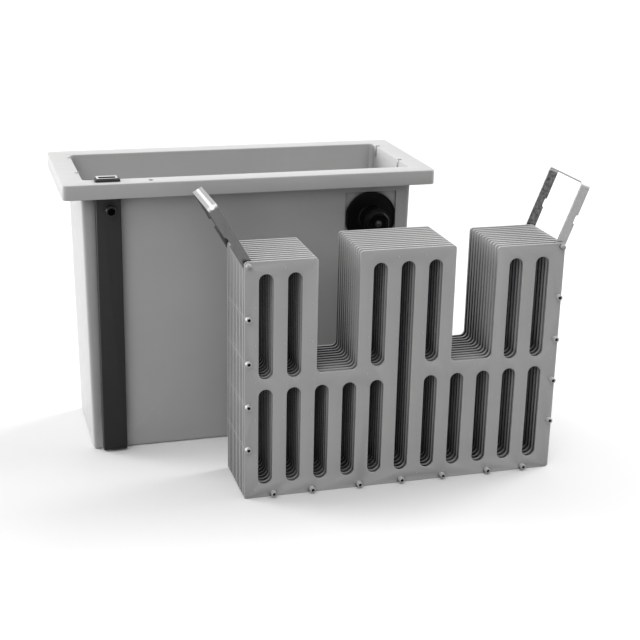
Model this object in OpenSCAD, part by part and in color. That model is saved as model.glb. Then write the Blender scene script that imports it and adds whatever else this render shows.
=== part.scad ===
// Upright tank for washing photographic prints, with its lift-out rack of slotted dividers.
// Millimetres. +Z is up, -Y is the front, and the origin is under the middle of the tank on the bench.

/* [Dividers] */
// Number of divider plates in the rack
plate_count = 12; // [6:1:14]
// Thickness of a divider plate
plate_t = 3; // [2:0.25:4]
// Clear gap between two dividers, where a print hangs
print_gap = 5.85; // [5:0.05:9]
// Width of a divider
plate_w = 440; // [380:1:480]
// Height of a divider's side columns
side_h = 327.5; // [300:0.5:360]
// How much taller the middle column is
centre_rise = 5.5; // [0:0.5:12]
// Height of the floor of the hand cut-outs
cut_floor = 171; // [150:1:200]
// Radius of a cut-out's lower corners
cut_r = 7; // [3:0.5:12]
// Radius of a column's upper corners
column_r = 4.5; // [2:0.5:7]
// Radius of a divider's lower corners
foot_r = 3; // [1:0.5:5]

/* [Slots] */
// Width of a water slot
slot_w = 19; // [12:0.5:22]
// Distance from the side edge to the first slot's middle
slot_margin = 30; // [24:0.5:34]
// How far the slots and the middle column sit to the left of the divider's middle
slot_shift = 1.5; // [0:0.1:3]
// Width of a side column
side_column_w = 97; // [92:0.5:104]
// Land beside the middle column's outer slots
middle_land = 18.5; // [14:0.5:22]
// Land under the lower slots
foot_land = 18.5; // [13:0.5:26]
// Land between the lower slots and the cut-out floor
cut_land = 17.5; // [10:0.5:26]
// Bar between the lower and the upper slots
mid_bar = 14; // [8:0.5:20]
// Land over the upper slots
top_land = 17.5; // [14:0.5:24]

/* [Tie tubes and pivot rods] */
// Outer diameter of a tie tube
tie_d = 7.8; // [5:0.1:8]
// Bore of a tie tube
tie_bore = 3.6; // [2:0.1:4.5]
// Distance from a divider's edge to a tie tube's axis
tie_inset = 5; // [4.6:0.1:7]
// How far the tie tubes stand out of the outer dividers
tie_out = 7; // [3:0.5:12]
// Number of tie tubes up each side
side_ties = 4; // [2:1:4]
// Height of the lowest side tie tube
side_tie_z = 72; // [50:1:90]
// Step between the side tie tubes
side_tie_step = 60; // [40:1:62]
// Distance of the inner bottom tie tubes from the middle one
bottom_tie_a = 60; // [30:1:80]
// Distance of the next bottom tie tubes from the middle one
bottom_tie_b = 126.5; // [100:0.5:140]
// Distance from a divider's side edge to the outer bottom tie tubes
bottom_tie_inset = 40; // [30:1:60]
// Diameter of a handle's pivot rod
rod_d = 5; // [3:0.1:6]
// Diameter of the round cap on a rod's end
cap_d = 7.6; // [6:0.1:9]
// Length of a rod's cap
cap_l = 8; // [5:0.5:12]

/* [Handles] */
// Width of the handle strip
strip_w = 13.7; // [8:0.1:16]
// Thickness of the handle strip
strip_t = 2; // [1:0.1:3]
// Distance from the pivot to the outer face of the crossbar
handle_reach = 89; // [60:1:92]
// Gap between the last divider and the handle's rear leg
rear_leg_gap = 1; // [0.3:0.1:2]
// Radius of the strip's bends, on the outside
bend_r = 5; // [3.5:0.5:8]
// Outward lean of the left handle
left_lean = 30.3; // [0:0.1:60]
// Outward lean of the right handle
right_lean = 20.7; // [0:0.1:60]
// Distance from the pivot to the foot of the rim notch
notch_start = 33; // [24:0.5:40]
// Length of the rim notch
notch_l = 17; // [10:0.5:22]
// Depth of the rim notch
notch_depth = 2.6; // [1:0.1:3.5]

/* [Tank] */
// Room beside the rack at the rim, on each side
side_room = 11; // [9:0.5:20]
// Room in front of the rack, inside the tank
front_room = 47; // [40:0.5:70]
// Room behind the rack, inside the tank
back_room = 19; // [15:0.5:30]
// Room over the middle column, up to the rim
head_room = 57; // [45:1:80]
// Thickness of the tank's walls
wall_t = 3.5; // [2.5:0.1:4.5]
// Thickness of the tank's floor
floor_t = 4; // [3:0.5:8]
// Draft of the walls, which lean in towards the floor
draft = 0.8; // [0.3:0.1:1]
// Radius of the tank's upright outer corners
tank_r = 6; // [5:0.5:12]

/* [Rim] */
// Width of the rim flange
rim_w = 30; // [24:0.5:40]
// Thickness of the rim flange
rim_t = 3.5; // [2:0.1:5]
// Height of the folded-down skirt, with the flange
skirt_h = 20.4; // [12:0.1:26]
// Thickness of the skirt
skirt_t = 3; // [2:0.1:4]
// Radius of the rim's outer corners
rim_r = 6; // [4:0.5:12]
// Diameter of the hole in the front flange
rim_hole_d = 6.5; // [3:0.5:9]
// Distance of that hole from the duct's middle line
rim_hole_off = 58; // [30:1:90]
// Width of a rim clip
clip_w = 2.8; // [2:0.1:5]
// Thickness of a rim clip
clip_t = 1; // [0.6:0.1:1.5]
// How far a rim clip hangs down the inner wall
clip_drop = 15.5; // [8:0.5:25]
// How far a rim clip reaches over the flange
clip_reach = 6.5; // [4:0.5:10]

/* [Inlet] */
// Width of the inlet duct
duct_w = 33.5; // [28:0.5:45]
// How far the duct stands out of the front wall
duct_proud = 14; // [10:0.5:18]
// Thickness of the duct's walls
duct_t = 2.5; // [1.5:0.1:3.5]
// Distance of the duct's middle line from the left end of the opening
duct_off = 31.5; // [26:0.5:60]
// Gap between the bench and the duct's foot
duct_gap = 3; // [1:0.5:6]
// How far the duct's mouth stands above the rim
mouth_h = 3.4; // [2:0.1:8]
// Width of the border of the mouth's collar
collar_border = 3; // [2:0.1:4]
// How far the collar stands above the duct's mouth
collar_h = 1; // [0.5:0.1:3]
// Outer diameter of the hose spigot
spigot_d = 14; // [10:0.5:18]
// Bore of the hose spigot
spigot_bore = 9.4; // [6:0.1:9.6]
// Length of the hose spigot outside the duct
spigot_l = 15; // [10:0.5:30]
// Diameter of the ring round the spigot, against the duct
spigot_ring_d = 18.6; // [18.2:0.1:22]
// Distance from the skirt's lower edge down to the spigot's axis
spigot_drop = 17; // [12:0.5:40]
// Height of the water port through the tank's wall
port_h = 12; // [8:0.5:20]

/* [Outlet valve] */
// Distance of the valve's axis from the right end of the opening
valve_off = 56.5; // [50:0.5:120]
// Distance from the rim down to the recess for the valve
recess_drop = 33.5; // [24:0.5:60]
// Width and height of that recess
recess_w = 75.6; // [75.2:0.1:90]
// Depth of the recess at its top
recess_depth = 2.5; // [1:0.1:3]
// Thickness of the pad behind the recess
pad_t = 5; // [3:0.5:8]
// Radius of the valve's round flange
flange_r = 37.4; // [30:0.1:37.5]
// Half the distance between the flange's flats
flange_flat = 36; // [28:0.5:37]
// Thickness of the flange
flange_t = 4; // [3:0.5:8]
// Thickness of the seal behind the flange
seal_t = 1; // [0.6:0.1:3]
// Radius of the valve's neck
neck_r = 17; // [16:0.1:18]
// Length of the neck in front of the flange
neck_l = 26.5; // [23:0.5:30]
// Radius of the threaded tail through the tank's wall
tail_r = 15.5; // [15:0.1:15.9]
// Length of the tail inside the tank
tail_l = 12; // [10:0.5:16]
// Radius of the rotor in the neck
rotor_r = 12.9; // [11:0.1:13]
// Bore radius of the rotor
rotor_bore = 9.5; // [8.5:0.1:10]
// Radius of the water window in rotor and neck
window_r = 6.5; // [4:0.1:6.9]
// Diameter of the spindle
spindle_d = 8; // [6:0.1:9]
// Thickness of the neck's and the rotor's front walls
cap_wall = 3; // [2:0.1:4]
// Length of the knob
knob_l = 14; // [12:0.5:18]
// Half the distance across the knob's flats
knob_r = 19; // [16:0.1:21]
// Thickness of the knob's rim
knob_rim = 2.6; // [2:0.1:4]
// Depth of the dish in the knob's face
knob_dish = 7; // [4:0.1:8]
// Radius of the screw's head
screw_r = 3.5; // [2.5:0.1:4.5]
// Outer diameter of the outlet's hose tail
spout_d = 19; // [17:0.1:20]
// Bore of the hose tail
spout_bore = 13; // [8:0.1:13]
// Length of the hose tail below the neck
spout_l = 24; // [15:0.5:30]
// Outer diameter of the hose tail's collar
spout_collar_d = 23; // [21:0.5:26]
// Length of that collar below the neck
spout_collar_l = 3; // [2:0.5:6]
// Thickness of the lock nut inside the tank
nut_t = 7; // [5:0.5:9]
// Distance from the lock nut's middle to its flats
nut_flat = 22; // [19:0.5:26]

/* [Where the rack stands] */
// Free bench between the tank's rim and the rack
rack_gap = 72; // [60:1:150]
// How far the rack's middle stands to the right of the tank's
rack_shift = 164; // [0:1:200]

/* [Clearances] */
// Radial clearance of a fixed pin or tube in its hole
fixed_gap = 0.03; // [0.01:0.01:0.05]
// Radial clearance of a turning pin or rotor
running_gap = 0.05; // [0.02:0.01:0.1]
// Bonding gap between two glued or screwed faces
bond_gap = 0.05; // [0.02:0.01:0.1]

/* [Hidden] */
$fn = 64;
corner_fn = 32;
plate_step = plate_t + print_gap;
rack_d = (plate_count - 1) * plate_step + plate_t;
rack_h = side_h + centre_rise;
rack_front = -(opening_d() / 2 + rim_w) - rack_gap - rack_d;

last_col = 5;
slot_step = (plate_w / 2 - slot_margin) / last_col;
side_cols = [4, 5];
centre_cols = [-1, 1];
middle_half = slot_step + slot_w / 2 + middle_land;
lower_top = cut_floor - cut_land;
upper_foot = lower_top + mid_bar;

tie_r = tie_d / 2;
side_tie_x = plate_w / 2 - tie_inset;
rod_z = side_h - tie_inset;
bottom_side_x = [bottom_tie_a, bottom_tie_b, plate_w / 2 - bottom_tie_inset];
bottom_tie_x = concat([for (k = [2 : -1 : 0]) -bottom_side_x[k]], [0], bottom_side_x);
front_leg_y = plate_t + print_gap / 2;
rear_leg_y = rack_d + rear_leg_gap + strip_t / 2;
rear_cap_y = rear_leg_y + strip_t / 2 + bond_gap;

opening_w = plate_w + 2 * side_room;
tank_h = floor_t + rack_h + head_room;
rim_out_w = opening_w + 2 * rim_w;
rim_out_d = opening_d() + 2 * rim_w;
rack_seat_front = -opening_d() / 2 + front_room;

duct_x = -opening_w / 2 + duct_off;
wall_front = -outer_d(tank_h) / 2;
duct_top_len = mouth_h / cos(draft);
duct_len = (tank_h - duct_gap) / cos(draft) + duct_top_len;
duct_inside = duct_proud - duct_t;
mouth_front = wall_front - duct_proud;
collar_d = collar_border + duct_inside + wall_t / 2 + collar_border / 2;
spigot_x = duct_x + 2;
spigot_z = tank_h - skirt_h - spigot_drop;
spigot_seat = duct_t / 2 + 0.2;
spigot_lip_t = 1;
spigot_ring_t = 1.3;

valve_x = opening_w / 2 - valve_off;
recess_top = tank_h - recess_drop;
valve_z = recess_top - recess_w / 2;
pad_y = -outer_d(recess_top) / 2 + recess_depth;
flange_front = seal_t + flange_t;
neck_front = flange_front + neck_l;
spout_off = flange_front + neck_l / 2;
knob_gap = 0.6;
knob_back = neck_front + knob_gap;
knob_front = knob_back + knob_l;
spindle_back = neck_front - 2 * cap_wall - knob_gap;
dish_floor = knob_front - knob_dish;
hub_r = 7;
hub_h = 1.2;
washer_r = screw_r + 1.6;
washer_t = 0.8;
screw_shank_r = 1.5;
screw_shank_l = 9;
screw_hole_l = 10;
screw_head_l = 2.2;

// The rim notch from its foot upwards, as shares of its depth and length
notch_shape = [[0, 0], [1, 0.12], [1, 0.45], [0.55, 0.72], [0, 1]];

function opening_d() = rack_d + front_room + back_room;
function lean_in(z) = (tank_h - z) * tan(draft);
function outer_w(z) = opening_w + 2 * wall_t - 2 * lean_in(z);
function outer_d(z) = opening_d() + 2 * wall_t - 2 * lean_in(z);
function side_tie_height(i) = side_tie_z + (i - 1) * side_tie_step;

// ---------- shared forms ----------

// An upright box whose four walls lean in towards the floor
module drafted_box(w_top, d_top, z_low, z_high, r) {
    skin = 0.01;
    hull()
        for (z = [z_low, z_high - skin], sx = [-1, 1], sy = [-1, 1])
            translate([sx * (w_top / 2 - lean_in(z) - r), sy * (d_top / 2 - lean_in(z) - r), z])
                cylinder(r = r, h = skin, $fn = corner_fn);
}

module rounded_rect(w, d, r) {
    square([w - 2 * r, d], center = true);
    square([w, d - 2 * r], center = true);
    for (sx = [-1, 1], sy = [-1, 1])
        translate([sx * (w / 2 - r), sy * (d / 2 - r)])
            circle(r);
}

// The waste outside a rounded corner; the corner's tip is at the origin, its material towards +X +Y
module corner_waste(r) {
    difference() {
        translate([-1, -1]) square(r + 1);
        translate([r, r]) circle(r);
    }
}

// A cylinder along -Y that starts at y and runs forwards
module forward(y, r, l) {
    translate([0, -y, 0]) rotate([90, 0, 0]) cylinder(r = r, h = l);
}

// Places its children on the valve's axis, with y = 0 on the tank's pad
module at_valve() {
    translate([valve_x, pad_y, valve_z]) children();
}

// Places its children on the front wall's outer face at the rim, leaning with the wall
module at_duct() {
    translate([duct_x, wall_front, tank_h]) rotate([draft, 0, 0]) children();
}

// Places its children at the rack's front face, middle and foot
module at_rack() {
    translate([rack_shift, rack_front, 0]) children();
}

// ---------- tank ----------

module tank_shell() {
    color("gainsboro")
        difference() {
            union() {
                drafted_box(opening_w + 2 * wall_t, opening_d() + 2 * wall_t, 0, tank_h, tank_r);
                rim();
            }
            difference() {
                drafted_box(opening_w, opening_d(), floor_t, tank_h + 1, tank_r - wall_t / 2);
                valve_pad();
            }
            valve_recess();
            at_valve() forward(-pad_t - 1, tail_r + fixed_gap, pad_t + 2);
            duct_cut();
            water_port();
            translate([duct_x + rim_hole_off, -(opening_d() + rim_w) / 2, tank_h - rim_t - 1])
                cylinder(d = rim_hole_d, h = rim_t + 2);
            for_clips()
                translate([clip_reach - clip_t, 0, -rim_t - 1])
                    cylinder(d = clip_t + 2 * fixed_gap, h = rim_t + 2);
        }
}

module rim() {
    translate([0, 0, tank_h - rim_t])
        linear_extrude(rim_t) rounded_rect(rim_out_w, rim_out_d, rim_r);
    translate([0, 0, tank_h - skirt_h])
        linear_extrude(skirt_h)
            difference() {
                rounded_rect(rim_out_w, rim_out_d, rim_r);
                rounded_rect(rim_out_w - 2 * skirt_t, rim_out_d - 2 * skirt_t, rim_r - skirt_t / 2);
            }
}

module valve_pad() {
    at_valve()
        translate([-recess_w / 2 - wall_t, -recess_w, -recess_w / 2 - wall_t])
            cube([recess_w + 2 * wall_t, recess_w + pad_t, recess_w + 2 * wall_t]);
}

module valve_recess() {
    at_valve()
        translate([-recess_w / 2, -recess_w, -recess_w / 2])
            cube([recess_w, recess_w, recess_w]);
}

// The duct runs up through the flange
module duct_cut() {
    at_duct()
        translate([-duct_w / 2 - bond_gap, -duct_proud - bond_gap, -skirt_h / 2])
            cube([duct_w + 2 * bond_gap, duct_proud + bond_gap, skirt_h]);
}

module water_port() {
    translate([duct_x - duct_w / 2 + duct_t, -outer_d(0) / 2 - 1, floor_t])
        cube([duct_w - 2 * duct_t, wall_t + 2 + lean_in(0) / 2, port_h]);
}

// ---------- inlet ----------

module inlet_duct() {
    color([0.1, 0.1, 0.1])
        difference() {
            at_duct()
                difference() {
                    translate([-duct_w / 2, -duct_proud, duct_top_len - duct_len])
                        cube([duct_w, duct_proud - bond_gap, duct_len]);
                    translate([-duct_w / 2 + duct_t, -duct_inside, duct_top_len - duct_len + duct_t])
                        cube([duct_w - 2 * duct_t, duct_proud, duct_len]);
                }
            spigot_axis() cylinder(d = spigot_d + 2 * fixed_gap, h = 3 * duct_t, center = true);
        }
}

// Places its children in the middle of the duct's front wall, with +Z out of the spigot
module spigot_axis() {
    translate([spigot_x, -outer_d(spigot_z) / 2 - duct_inside - duct_t / 2, spigot_z])
        rotate([90, 0, 0]) children();
}

module mouth_collar() {
    inner_w = duct_w - 2 * duct_t - 2 * collar_border;
    inner_d = duct_inside - collar_border;
    color("whitesmoke")
        translate([duct_x, mouth_front + duct_t + bond_gap, tank_h + bond_gap])
            difference() {
                translate([-duct_w / 2 + duct_t + bond_gap, 0, 0])
                    cube([duct_w - 2 * duct_t - 2 * bond_gap, collar_d, mouth_h + collar_h]);
                translate([-inner_w / 2, collar_border, -1])
                    cube([inner_w, inner_d, mouth_h + collar_h + 2]);
            }
}

// A lip inside the duct and a ring outside it hold the spigot
module hose_spigot() {
    inner_end = spigot_seat + spigot_lip_t;
    outer_end = duct_t / 2 + spigot_l;
    color([0.12, 0.12, 0.12])
        spigot_axis()
            difference() {
                union() {
                    translate([0, 0, -inner_end]) cylinder(d = spigot_d, h = inner_end + outer_end);
                    translate([0, 0, -inner_end]) cylinder(d = spigot_ring_d, h = spigot_lip_t);
                    translate([0, 0, spigot_seat]) cylinder(d = spigot_ring_d, h = spigot_ring_t);
                }
                translate([0, 0, -inner_end - 1]) cylinder(d = spigot_bore, h = inner_end + outer_end + 2);
            }
}

// ---------- rim clips ----------

// Places its children at the four clips: origin on the opening's end edge, +X outwards
module for_clips() {
    for (s = [-1, 1], y = [rack_seat_front, rack_seat_front + rack_d])
        translate([s * opening_w / 2, y, tank_h]) rotate([0, 0, s > 0 ? 0 : 180]) children();
}

module rim_clips() {
    color("dimgray")
        for_clips() {
            rotate([0, draft, 0])
                translate([-clip_t - bond_gap, -clip_w / 2, -clip_drop])
                    cube([clip_t, clip_w, clip_drop]);
            translate([-clip_t - bond_gap, -clip_w / 2, -bond_gap])
                cube([clip_t, clip_w, 3 * bond_gap]);
            translate([-clip_t - bond_gap, -clip_w / 2, bond_gap])
                cube([clip_reach + clip_t, clip_w, clip_t]);
            translate([clip_reach - clip_t, 0, -rim_t])
                cylinder(d = clip_t, h = rim_t + clip_t);
        }
}

// ---------- outlet valve ----------

module valve_body() {
    bore_l = neck_front - cap_wall + tail_l + pad_t;
    color([0.07, 0.07, 0.07])
        at_valve()
            difference() {
                union() {
                    intersection() {
                        forward(seal_t, flange_r, flange_t);
                        translate([-flange_flat, -2 * flange_front, -flange_r])
                            cube([2 * flange_flat, 2 * flange_front, 2 * flange_r]);
                    }
                    forward(flange_front, neck_r, neck_l);
                    forward(-pad_t - tail_l, tail_r, pad_t + tail_l + seal_t);
                }
                forward(-pad_t - tail_l - 1, rotor_r + running_gap, bore_l + 1);
                forward(0, spindle_d / 2 + running_gap, neck_front + 1);
                translate([0, -spout_off, -neck_r - 1]) cylinder(r = window_r, h = neck_r);
            }
}

module valve_seal() {
    color([0.16, 0.16, 0.16])
        at_valve()
            difference() {
                forward(bond_gap, flange_flat - 2, seal_t - 2 * bond_gap);
                forward(-1, tail_r + fixed_gap, seal_t + 2);
            }
}

module lock_nut() {
    color([0.14, 0.14, 0.14])
        at_valve()
            difference() {
                translate([0, pad_t + bond_gap + nut_t, 0])
                    rotate([90, 0, 0]) cylinder(r = nut_flat / cos(30), h = nut_t, $fn = 6);
                forward(-pad_t - nut_t - 1, tail_r + fixed_gap, nut_t + 2);
            }
}

// The hose tail's collar is cut to lie against the round neck
module outlet_hose_tail() {
    color([0.1, 0.1, 0.1])
        at_valve()
            difference() {
                translate([0, -spout_off, -neck_r]) {
                    translate([0, 0, -spout_l])
                        cylinder(d = spout_d, h = spout_l);
                    translate([0, 0, -spout_collar_l])
                        cylinder(d = spout_collar_d, h = spout_collar_l + neck_r);
                }
                translate([0, -spout_off, -neck_r - spout_l - 1])
                    cylinder(d = spout_bore, h = spout_l + neck_r);
                forward(0, neck_r + bond_gap, neck_front + 1);
            }
}

module valve_rotor() {
    rotor_back = -pad_t - tail_l;
    rotor_l = neck_front - cap_wall - knob_gap - rotor_back;
    color("darkgray")
        at_valve()
            difference() {
                forward(rotor_back, rotor_r, rotor_l);
                forward(rotor_back - 1, rotor_bore, rotor_l - cap_wall + 1);
                forward(0, spindle_d / 2 + fixed_gap, neck_front);
                translate([0, -spout_off, -2 * rotor_r]) cylinder(r = window_r, h = 2 * rotor_r);
            }
}

module valve_spindle() {
    color("silver")
        at_valve()
            difference() {
                forward(spindle_back, spindle_d / 2, dish_floor - spindle_back);
                forward(dish_floor - screw_hole_l, screw_shank_r + fixed_gap, screw_hole_l + 1);
            }
}

// Eight flats with softened corners, and a dished face with a hub
module valve_knob() {
    corner_trim = 0.9;
    color([0.06, 0.06, 0.06])
        at_valve()
            difference() {
                intersection() {
                    rotate([90, 22.5, 0])
                        translate([0, 0, knob_back])
                            cylinder(r = knob_r / cos(22.5), h = knob_l, $fn = 8);
                    forward(knob_back, knob_r + corner_trim, knob_l);
                }
                difference() {
                    forward(dish_floor, knob_r - knob_rim, knob_dish + 1);
                    forward(dish_floor - 1, hub_r, hub_h + 1);
                }
                forward(knob_back - 1, spindle_d / 2 + fixed_gap, dish_floor - knob_back + 1);
                forward(dish_floor - 1, screw_shank_r + fixed_gap, hub_h + 2);
            }
}

module knob_washer() {
    color("dimgray")
        at_valve()
            difference() {
                forward(dish_floor + hub_h + bond_gap, washer_r, washer_t);
                forward(dish_floor, screw_shank_r + fixed_gap, knob_dish);
            }
}

module knob_screw() {
    seat = dish_floor + hub_h + washer_t + 2 * bond_gap;
    slot_t = 0.9;
    color("lightgray")
        at_valve()
            difference() {
                union() {
                    forward(seat, screw_r, screw_head_l);
                    forward(seat - screw_shank_l, screw_shank_r, screw_shank_l);
                }
                translate([-screw_r, -seat - screw_head_l - 0.1, -slot_t / 2])
                    cube([2 * screw_r, 1, slot_t]);
            }
}

// ---------- rack ----------

// The outline of a divider: foot and middle line at the origin
module divider_outline() {
    difference() {
        translate([-plate_w / 2, 0]) square([plate_w, side_h]);
        for (s = [-1, 1]) mirror([s > 0 ? 1 : 0, 0]) {
            translate([-plate_w / 2, 0]) corner_waste(foot_r);
            translate([-plate_w / 2, side_h]) mirror([0, 1]) corner_waste(column_r);
            translate([side_column_w - plate_w / 2, side_h]) rotate(180) corner_waste(column_r);
        }
    }
    translate([-middle_half - slot_shift, cut_floor])
        difference() {
            square([2 * middle_half, rack_h - cut_floor]);
            translate([0, rack_h - cut_floor]) mirror([0, 1]) corner_waste(column_r);
            translate([2 * middle_half, rack_h - cut_floor]) rotate(180) corner_waste(column_r);
        }
}

// One hand cut-out between two columns' edges, open at the top
module hand_cut(x_low, x_high) {
    above = rack_h + 1;
    translate([x_low, cut_floor + cut_r]) square([x_high - x_low, above - cut_floor - cut_r]);
    translate([x_low + cut_r, cut_floor]) square([x_high - x_low - 2 * cut_r, cut_r + 1]);
    for (x = [x_low + cut_r, x_high - cut_r])
        translate([x, cut_floor + cut_r]) circle(cut_r);
}

// A water slot with round ends, counted from the middle one
module slot(c, z_low, z_high) {
    r = slot_w / 2;
    x = c * slot_step - slot_shift;
    translate([x - r, z_low + r]) square([slot_w, z_high - z_low - slot_w]);
    for (z = [z_low + r, z_high - r]) translate([x, z]) circle(r);
}

module divider(i) {
    color("darkgray")
        at_rack()
            translate([0, (i - 1) * plate_step + plate_t, 0])
                rotate([90, 0, 0])
                    linear_extrude(plate_t)
                        difference() {
                            divider_outline();
                            hand_cut(side_column_w - plate_w / 2, -middle_half - slot_shift);
                            hand_cut(middle_half - slot_shift, plate_w / 2 - side_column_w);
                            for (s = [-1, 1], c = [1 : last_col]) slot(s * c, foot_land, lower_top);
                            for (s = [-1, 1], c = side_cols) slot(s * c, upper_foot, side_h - top_land);
                            for (c = centre_cols) slot(c, upper_foot + centre_rise, rack_h - top_land);
                            slot(0, foot_land, rack_h - top_land);
                            tie_holes();
                        }
}

module tie_holes() {
    for (s = [-1, 1]) {
        for (i = [1 : side_ties]) translate([s * side_tie_x, side_tie_height(i)]) circle(tie_r + fixed_gap);
        translate([s * side_tie_x, rod_z]) circle(rod_d / 2 + fixed_gap);
    }
    for (x = bottom_tie_x) translate([x, tie_inset]) circle(tie_r + fixed_gap);
}

module tie_tube(x, z) {
    color("lightgray")
        at_rack()
            translate([x, rack_d + tie_out, z])
                rotate([90, 0, 0])
                    difference() {
                        cylinder(r = tie_r, h = rack_d + 2 * tie_out);
                        translate([0, 0, -1]) cylinder(d = tie_bore, h = rack_d + 2 * tie_out + 2);
                    }
}

module pivot_rod(s) {
    color("silver")
        at_rack()
            translate([s * side_tie_x, rear_cap_y + cap_l / 2, rod_z])
                rotate([90, 0, 0]) cylinder(d = rod_d, h = rear_cap_y + cap_l);
}

// A round-ended cap on each end of a rod
module rod_caps(s) {
    dome_r = cap_d / 2;
    color("whitesmoke")
        at_rack()
            translate([s * side_tie_x, 0, rod_z])
                for (e = [0, 1])
                    translate([0, e * rear_cap_y, 0])
                        rotate([e > 0 ? -90 : 90, 0, 0])
                            translate([0, 0, bond_gap])
                                difference() {
                                    union() {
                                        cylinder(d = cap_d, h = cap_l - dome_r);
                                        translate([0, 0, cap_l - dome_r]) sphere(dome_r);
                                    }
                                    translate([0, 0, -1])
                                        cylinder(d = rod_d + 2 * fixed_gap, h = cap_l / 2 + 1);
                                    translate([0, 0, -dome_r])
                                        cube(2 * dome_r, center = true);
                                }
}

// ---------- handles ----------

// One leg seen from the front: pivot at the origin, crossbar upwards, notch on the outer side (-X)
module leg_outline() {
    straight = handle_reach - bend_r;
    half = strip_w / 2;
    difference() {
        union() {
            circle(half);
            translate([-half, 0]) square([strip_w, straight]);
        }
        circle(rod_d / 2 + running_gap);
        polygon(concat(
            [[-half - 1, notch_start - 1]],
            [for (p = notch_shape) [-half + p[0] * notch_depth, notch_start + p[1] * notch_l]],
            [[-half - 1, notch_start + notch_l]]
        ));
    }
}

// A quarter of the strip's bend, from the leg into the crossbar
module strip_bend() {
    rotate([0, 90, 0])
        linear_extrude(strip_w, center = true)
            intersection() {
                difference() {
                    circle(bend_r);
                    circle(bend_r - strip_t);
                }
                translate([-bend_r, -bend_r]) square(bend_r);
            }
}

module handle(s, lean) {
    front = front_leg_y - strip_t / 2;
    rear = rear_leg_y + strip_t / 2;
    color("lightsteelblue")
        at_rack()
            translate([s * side_tie_x, 0, rod_z])
                rotate([0, s * lean, 0])
                    mirror([s > 0 ? 1 : 0, 0, 0]) {
                        for (y = [front_leg_y, rear_leg_y])
                            translate([0, y + strip_t / 2, 0])
                                rotate([90, 0, 0])
                                    linear_extrude(strip_t) leg_outline();
                        translate([0, front + bend_r, handle_reach - bend_r]) strip_bend();
                        translate([0, rear - bend_r, handle_reach - bend_r]) mirror([0, 1, 0]) strip_bend();
                        translate([-strip_w / 2, front + bend_r, handle_reach - strip_t])
                            cube([strip_w, rear - front - 2 * bend_r, strip_t]);
                    }
}

// ---------- the assembly ----------

tank_shell();
inlet_duct();
mouth_collar();
hose_spigot();
rim_clips();
valve_body();
valve_seal();
lock_nut();
outlet_hose_tail();
valve_rotor();
valve_spindle();
valve_knob();
knob_washer();
knob_screw();
for (i = [1 : plate_count])
    divider(i);
for (i = [1 : side_ties])
    tie_tube(-side_tie_x, side_tie_height(i));
for (i = [1 : side_ties])
    tie_tube(side_tie_x, side_tie_height(i));
for (i = [1 : len(bottom_tie_x)])
    tie_tube(bottom_tie_x[i - 1], tie_inset);
pivot_rod(-1);  // left_pivot_rod
pivot_rod(1);  // right_pivot_rod
rod_caps(-1);  // left_rod_caps
rod_caps(1);  // right_rod_caps
handle(-1, left_lean);  // left_handle
handle(1, right_lean);  // right_handle
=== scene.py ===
import math

import bmesh
import bpy
from mathutils import Matrix, Vector


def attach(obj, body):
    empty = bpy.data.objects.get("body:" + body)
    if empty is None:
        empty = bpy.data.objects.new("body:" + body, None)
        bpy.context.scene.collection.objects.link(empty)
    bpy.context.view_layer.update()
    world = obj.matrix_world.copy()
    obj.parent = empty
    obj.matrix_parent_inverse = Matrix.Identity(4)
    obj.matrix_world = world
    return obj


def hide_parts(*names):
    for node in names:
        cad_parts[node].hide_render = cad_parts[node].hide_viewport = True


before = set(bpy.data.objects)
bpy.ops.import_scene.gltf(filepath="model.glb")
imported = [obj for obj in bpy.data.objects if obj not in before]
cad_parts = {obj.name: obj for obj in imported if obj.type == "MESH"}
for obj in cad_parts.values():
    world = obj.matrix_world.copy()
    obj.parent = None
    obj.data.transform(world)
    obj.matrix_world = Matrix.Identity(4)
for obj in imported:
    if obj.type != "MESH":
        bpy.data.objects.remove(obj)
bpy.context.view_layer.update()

mm = 0.001
forwards = (0, -1, 0)    # the tank's front faces -Y
backwards = (0, 1, 0)
upwards = (0, 0, 1)
seam = 0.05              # between pieces that lie against each other
loose = 0.03             # round what passes through a hole
draft = math.radians(0.8)    # how far the tank's walls lean


def inMetres(place):
    return Vector(place) * mm


# shader nodes

def addNode(tree, kind, **settings):
    node = tree.nodes.new("ShaderNode" + kind)
    for key, value in settings.items():
        setattr(node, key, value)
    return node


def feed(tree, socket, value):
    # a link where the value comes from another node, otherwise a plain value
    if isinstance(value, bpy.types.NodeSocket):
        tree.links.new(value, socket)
    else:
        socket.default_value = value


def addMath(tree, operation, *values):
    node = addNode(tree, "Math", operation=operation)
    for socket, value in zip(node.inputs, values):
        feed(tree, socket, value)
    return node.outputs[0]


def mixTones(tree, factor, low, high):
    mix = addNode(tree, "Mix", data_type="RGBA")
    tree.links.new(factor, mix.inputs["Factor"])
    colours = [socket for socket in mix.inputs if socket.type == "RGBA"]
    feed(tree, colours[0], low)
    feed(tree, colours[1], high)
    return mix.outputs[2]


def remap(tree, value, low, high, toLow=0, toHigh=1):
    ramp = addNode(tree, "MapRange", clamp=True)
    names = ("From Min", "From Max", "To Min", "To Max")
    for name, number in zip(names, (low, high, toLow, toHigh)):
        ramp.inputs[name].default_value = number
    tree.links.new(value, ramp.inputs["Value"])
    return ramp.outputs["Result"]


def coordinates(tree):
    return addNode(tree, "TexCoord").outputs


def splitUp(tree, vector):
    parts = addNode(tree, "SeparateXYZ")
    tree.links.new(vector, parts.inputs[0])
    return parts.outputs


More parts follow.
